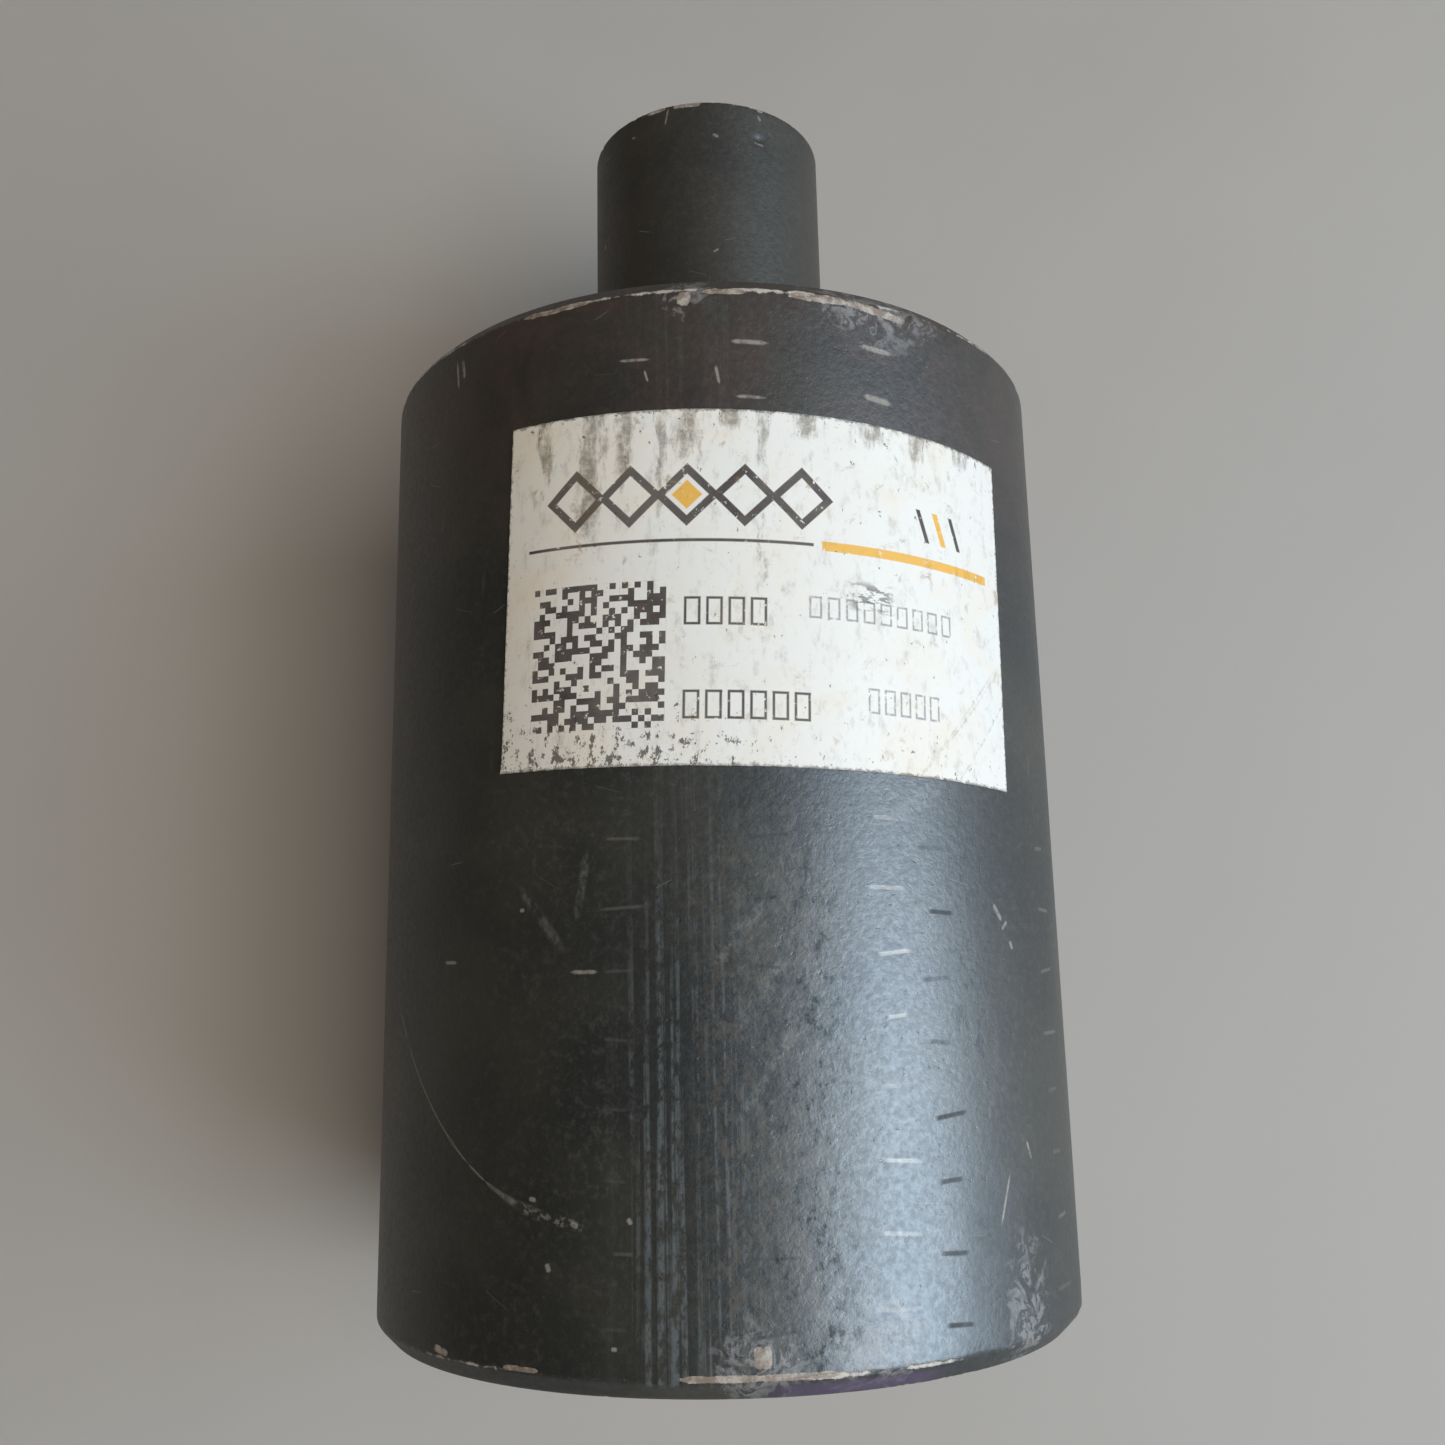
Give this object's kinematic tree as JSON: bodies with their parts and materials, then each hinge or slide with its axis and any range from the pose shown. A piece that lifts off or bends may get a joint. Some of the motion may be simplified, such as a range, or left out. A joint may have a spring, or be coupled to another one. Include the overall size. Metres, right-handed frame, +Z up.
{
  "type": "carrier roller",
  "caption": "Black steel carrier roller for a small tracked machine: a plain cylinder that turns on bearings about a stub shaft, with a blank label.",
  "frame": {"origin": "centre of the flat end of the shaft's free stub, on the spin axis", "axes": "+Y along the spin axis, out of the free end of the shaft; +Z up as the roller lies on its side, through the near edge of the label"},
  "size_m": [0.0796, 0.148, 0.0798],
  "materials": {
    "shell_paint": "semi-gloss black paint, worn at the rims",
    "shaft_paint": "satin black paint",
    "machined_steel": "machined",
    "bearing_steel": "ground and polished",
    "spring_steel": "phosphated",
    "seal_iron": "lapped face",
    "seal_rubber": "matt",
    "cage_polyamide": "moulded",
    "copper": "soft copper",
    "label_paper": "soiled, off-white"
  },
  "bodies": {
    "axle": {"axle_shaft": "shaft_paint", "seal_collar": "shaft_paint", "shaft_o_ring": "seal_rubber", "static_seal_ring": "seal_iron", "static_toric_ring": "seal_rubber", "inner_race_spacer": "machined_steel", "lock_washer": "machined_steel", "axle_lock_nut": "machined_steel", "inner_bearing_inner_race": "bearing_steel", "outer_bearing_inner_race": "bearing_steel"},
    "roller": {"roller_shell": "shell_paint", "rotating_seal_ring": "seal_iron", "rotating_toric_ring": "seal_rubber", "outer_race_spacer": "machined_steel", "bearing_circlip": "spring_steel", "end_cover": "shell_paint", "end_cover_o_ring": "seal_rubber", "cover_circlip": "spring_steel", "plug_sealing_ring": "copper", "filler_plug": "machined_steel", "spec_label": "label_paper", "inner_bearing_outer_race": "bearing_steel", "outer_bearing_outer_race": "bearing_steel"},
    "inner_cage": {"inner_bearing_cage": "cage_polyamide", "inner_bearing_ball_1": "bearing_steel", "inner_bearing_ball_2": "bearing_steel", "inner_bearing_ball_3": "bearing_steel", "inner_bearing_ball_4": "bearing_steel", "inner_bearing_ball_5": "bearing_steel", "inner_bearing_ball_6": "bearing_steel", "inner_bearing_ball_7": "bearing_steel", "inner_bearing_ball_8": "bearing_steel", "inner_bearing_ball_9": "bearing_steel"},
    "outer_cage": {"outer_bearing_cage": "cage_polyamide", "outer_bearing_ball_1": "bearing_steel", "outer_bearing_ball_2": "bearing_steel", "outer_bearing_ball_3": "bearing_steel", "outer_bearing_ball_4": "bearing_steel", "outer_bearing_ball_5": "bearing_steel", "outer_bearing_ball_6": "bearing_steel", "outer_bearing_ball_7": "bearing_steel", "outer_bearing_ball_8": "bearing_steel", "outer_bearing_ball_9": "bearing_steel"}
  },
  "joints": [
    {"name": "roller_spin", "type": "hinge", "parent": "axle", "child": "roller", "pos_m": [0, -0.093, 0], "axis": [0, 1, 0], "continuous": true},
    {"name": "inner_cage_spin", "type": "hinge", "parent": "axle", "child": "inner_cage", "pos_m": [0, -0.0723, 0], "axis": [0, 1, 0], "continuous": true},
    {"name": "outer_cage_spin", "type": "hinge", "parent": "axle", "child": "outer_cage", "pos_m": [0, -0.1097, 0], "axis": [0, 1, 0], "continuous": true}
  ],
  "couplings": [
    {"joint": "inner_cage_spin", "follows": "roller_spin", "ratio": 0.60353},
    {"joint": "outer_cage_spin", "follows": "roller_spin", "ratio": 0.60353}
  ]
}
